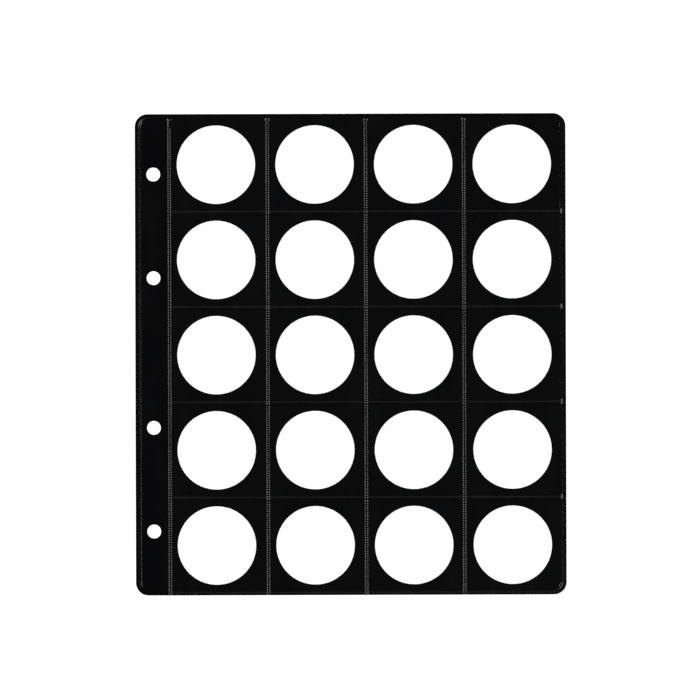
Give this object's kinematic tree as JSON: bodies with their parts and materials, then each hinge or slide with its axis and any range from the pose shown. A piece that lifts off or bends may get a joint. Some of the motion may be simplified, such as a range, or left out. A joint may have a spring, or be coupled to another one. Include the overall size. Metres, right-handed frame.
{
  "type": "coin album leaf",
  "caption": "Thin glossy black ring-binder leaf with a grid of round windows, each behind a clear film pocket that opens at its top edge.",
  "frame": {"origin": "middle of the leaf's outline, on its back face", "axes": "+X away from the binding margin, +Y to the top of the page, +Z out of the pocket side"},
  "size_m": [0.187, 0.209, 0.0008],
  "materials": {
    "black_sheet": "gloss",
    "clear_film": "gloss"
  },
  "bodies": {
    "binding_margin": {"back_film_margin": "clear_film", "window_sheet_margin": "black_sheet"},
    "pocket_leaf": {"back_film_pockets": "clear_film", "window_sheet_pockets": "black_sheet", "row_strip_1": "clear_film", "row_strip_2": "clear_film", "row_strip_3": "clear_film", "row_strip_4": "clear_film", "row_strip_5": "clear_film"},
    "front_r1c1": {"pocket_front_r1c1": "clear_film"},
    "front_r1c2": {"pocket_front_r1c2": "clear_film"},
    "front_r1c3": {"pocket_front_r1c3": "clear_film"},
    "front_r1c4": {"pocket_front_r1c4": "clear_film"},
    "front_r2c1": {"pocket_front_r2c1": "clear_film"},
    "front_r2c2": {"pocket_front_r2c2": "clear_film"},
    "front_r2c3": {"pocket_front_r2c3": "clear_film"},
    "front_r2c4": {"pocket_front_r2c4": "clear_film"},
    "front_r3c1": {"pocket_front_r3c1": "clear_film"},
    "front_r3c2": {"pocket_front_r3c2": "clear_film"},
    "front_r3c3": {"pocket_front_r3c3": "clear_film"},
    "front_r3c4": {"pocket_front_r3c4": "clear_film"},
    "front_r4c1": {"pocket_front_r4c1": "clear_film"},
    "front_r4c2": {"pocket_front_r4c2": "clear_film"},
    "front_r4c3": {"pocket_front_r4c3": "clear_film"},
    "front_r4c4": {"pocket_front_r4c4": "clear_film"},
    "front_r5c1": {"pocket_front_r5c1": "clear_film"},
    "front_r5c2": {"pocket_front_r5c2": "clear_film"},
    "front_r5c3": {"pocket_front_r5c3": "clear_film"},
    "front_r5c4": {"pocket_front_r5c4": "clear_film"}
  },
  "joints": [
    {"name": "margin_crease", "type": "hinge", "parent": "binding_margin", "child": "pocket_leaf", "pos_m": [-0.0801, 0, 0.00028], "axis": [0, -1, 0], "range_deg": [0, 60], "stiffness_Nm_per_rad": 0.05},
    {"name": "mouth_r1c1", "type": "hinge", "parent": "pocket_leaf", "child": "front_r1c1", "pos_m": [-0.05721, 0.06306, 0.0007], "axis": [1, 0, 0], "range_deg": [0, 7], "stiffness_Nm_per_rad": 0.002},
    {"name": "mouth_r1c2", "type": "hinge", "parent": "pocket_leaf", "child": "front_r1c2", "pos_m": [-0.01464, 0.06306, 0.0007], "axis": [1, 0, 0], "range_deg": [0, 7], "stiffness_Nm_per_rad": 0.002},
    {"name": "mouth_r1c3", "type": "hinge", "parent": "pocket_leaf", "child": "front_r1c3", "pos_m": [0.02794, 0.06306, 0.0007], "axis": [1, 0, 0], "range_deg": [0, 7], "stiffness_Nm_per_rad": 0.002},
    {"name": "mouth_r1c4", "type": "hinge", "parent": "pocket_leaf", "child": "front_r1c4", "pos_m": [0.07051, 0.06306, 0.0007], "axis": [1, 0, 0], "range_deg": [0, 7], "stiffness_Nm_per_rad": 0.002},
    {"name": "mouth_r2c1", "type": "hinge", "parent": "pocket_leaf", "child": "front_r2c1", "pos_m": [-0.05721, 0.02172, 0.0007], "axis": [1, 0, 0], "range_deg": [0, 7], "stiffness_Nm_per_rad": 0.002},
    {"name": "mouth_r2c2", "type": "hinge", "parent": "pocket_leaf", "child": "front_r2c2", "pos_m": [-0.01464, 0.02172, 0.0007], "axis": [1, 0, 0], "range_deg": [0, 7], "stiffness_Nm_per_rad": 0.002},
    {"name": "mouth_r2c3", "type": "hinge", "parent": "pocket_leaf", "child": "front_r2c3", "pos_m": [0.02794, 0.02172, 0.0007], "axis": [1, 0, 0], "range_deg": [0, 7], "stiffness_Nm_per_rad": 0.002},
    {"name": "mouth_r2c4", "type": "hinge", "parent": "pocket_leaf", "child": "front_r2c4", "pos_m": [0.07051, 0.02172, 0.0007], "axis": [1, 0, 0], "range_deg": [0, 7], "stiffness_Nm_per_rad": 0.002},
    {"name": "mouth_r3c1", "type": "hinge", "parent": "pocket_leaf", "child": "front_r3c1", "pos_m": [-0.05721, -0.01962, 0.0007], "axis": [1, 0, 0], "range_deg": [0, 7], "stiffness_Nm_per_rad": 0.002},
    {"name": "mouth_r3c2", "type": "hinge", "parent": "pocket_leaf", "child": "front_r3c2", "pos_m": [-0.01464, -0.01962, 0.0007], "axis": [1, 0, 0], "range_deg": [0, 7], "stiffness_Nm_per_rad": 0.002},
    {"name": "mouth_r3c3", "type": "hinge", "parent": "pocket_leaf", "child": "front_r3c3", "pos_m": [0.02794, -0.01962, 0.0007], "axis": [1, 0, 0], "range_deg": [0, 7], "stiffness_Nm_per_rad": 0.002},
    {"name": "mouth_r3c4", "type": "hinge", "parent": "pocket_leaf", "child": "front_r3c4", "pos_m": [0.07051, -0.01962, 0.0007], "axis": [1, 0, 0], "range_deg": [0, 7], "stiffness_Nm_per_rad": 0.002},
    {"name": "mouth_r4c1", "type": "hinge", "parent": "pocket_leaf", "child": "front_r4c1", "pos_m": [-0.05721, -0.06096, 0.0007], "axis": [1, 0, 0], "range_deg": [0, 7], "stiffness_Nm_per_rad": 0.002},
    {"name": "mouth_r4c2", "type": "hinge", "parent": "pocket_leaf", "child": "front_r4c2", "pos_m": [-0.01464, -0.06096, 0.0007], "axis": [1, 0, 0], "range_deg": [0, 7], "stiffness_Nm_per_rad": 0.002},
    {"name": "mouth_r4c3", "type": "hinge", "parent": "pocket_leaf", "child": "front_r4c3", "pos_m": [0.02794, -0.06096, 0.0007], "axis": [1, 0, 0], "range_deg": [0, 7], "stiffness_Nm_per_rad": 0.002},
    {"name": "mouth_r4c4", "type": "hinge", "parent": "pocket_leaf", "child": "front_r4c4", "pos_m": [0.07051, -0.06096, 0.0007], "axis": [1, 0, 0], "range_deg": [0, 7], "stiffness_Nm_per_rad": 0.002},
    {"name": "mouth_r5c1", "type": "hinge", "parent": "pocket_leaf", "child": "front_r5c1", "pos_m": [-0.05721, -0.1023, 0.0007], "axis": [1, 0, 0], "range_deg": [0, 7], "stiffness_Nm_per_rad": 0.002},
    {"name": "mouth_r5c2", "type": "hinge", "parent": "pocket_leaf", "child": "front_r5c2", "pos_m": [-0.01464, -0.1023, 0.0007], "axis": [1, 0, 0], "range_deg": [0, 7], "stiffness_Nm_per_rad": 0.002},
    {"name": "mouth_r5c3", "type": "hinge", "parent": "pocket_leaf", "child": "front_r5c3", "pos_m": [0.02794, -0.1023, 0.0007], "axis": [1, 0, 0], "range_deg": [0, 7], "stiffness_Nm_per_rad": 0.002},
    {"name": "mouth_r5c4", "type": "hinge", "parent": "pocket_leaf", "child": "front_r5c4", "pos_m": [0.07051, -0.1023, 0.0007], "axis": [1, 0, 0], "range_deg": [0, 7], "stiffness_Nm_per_rad": 0.002}
  ]
}
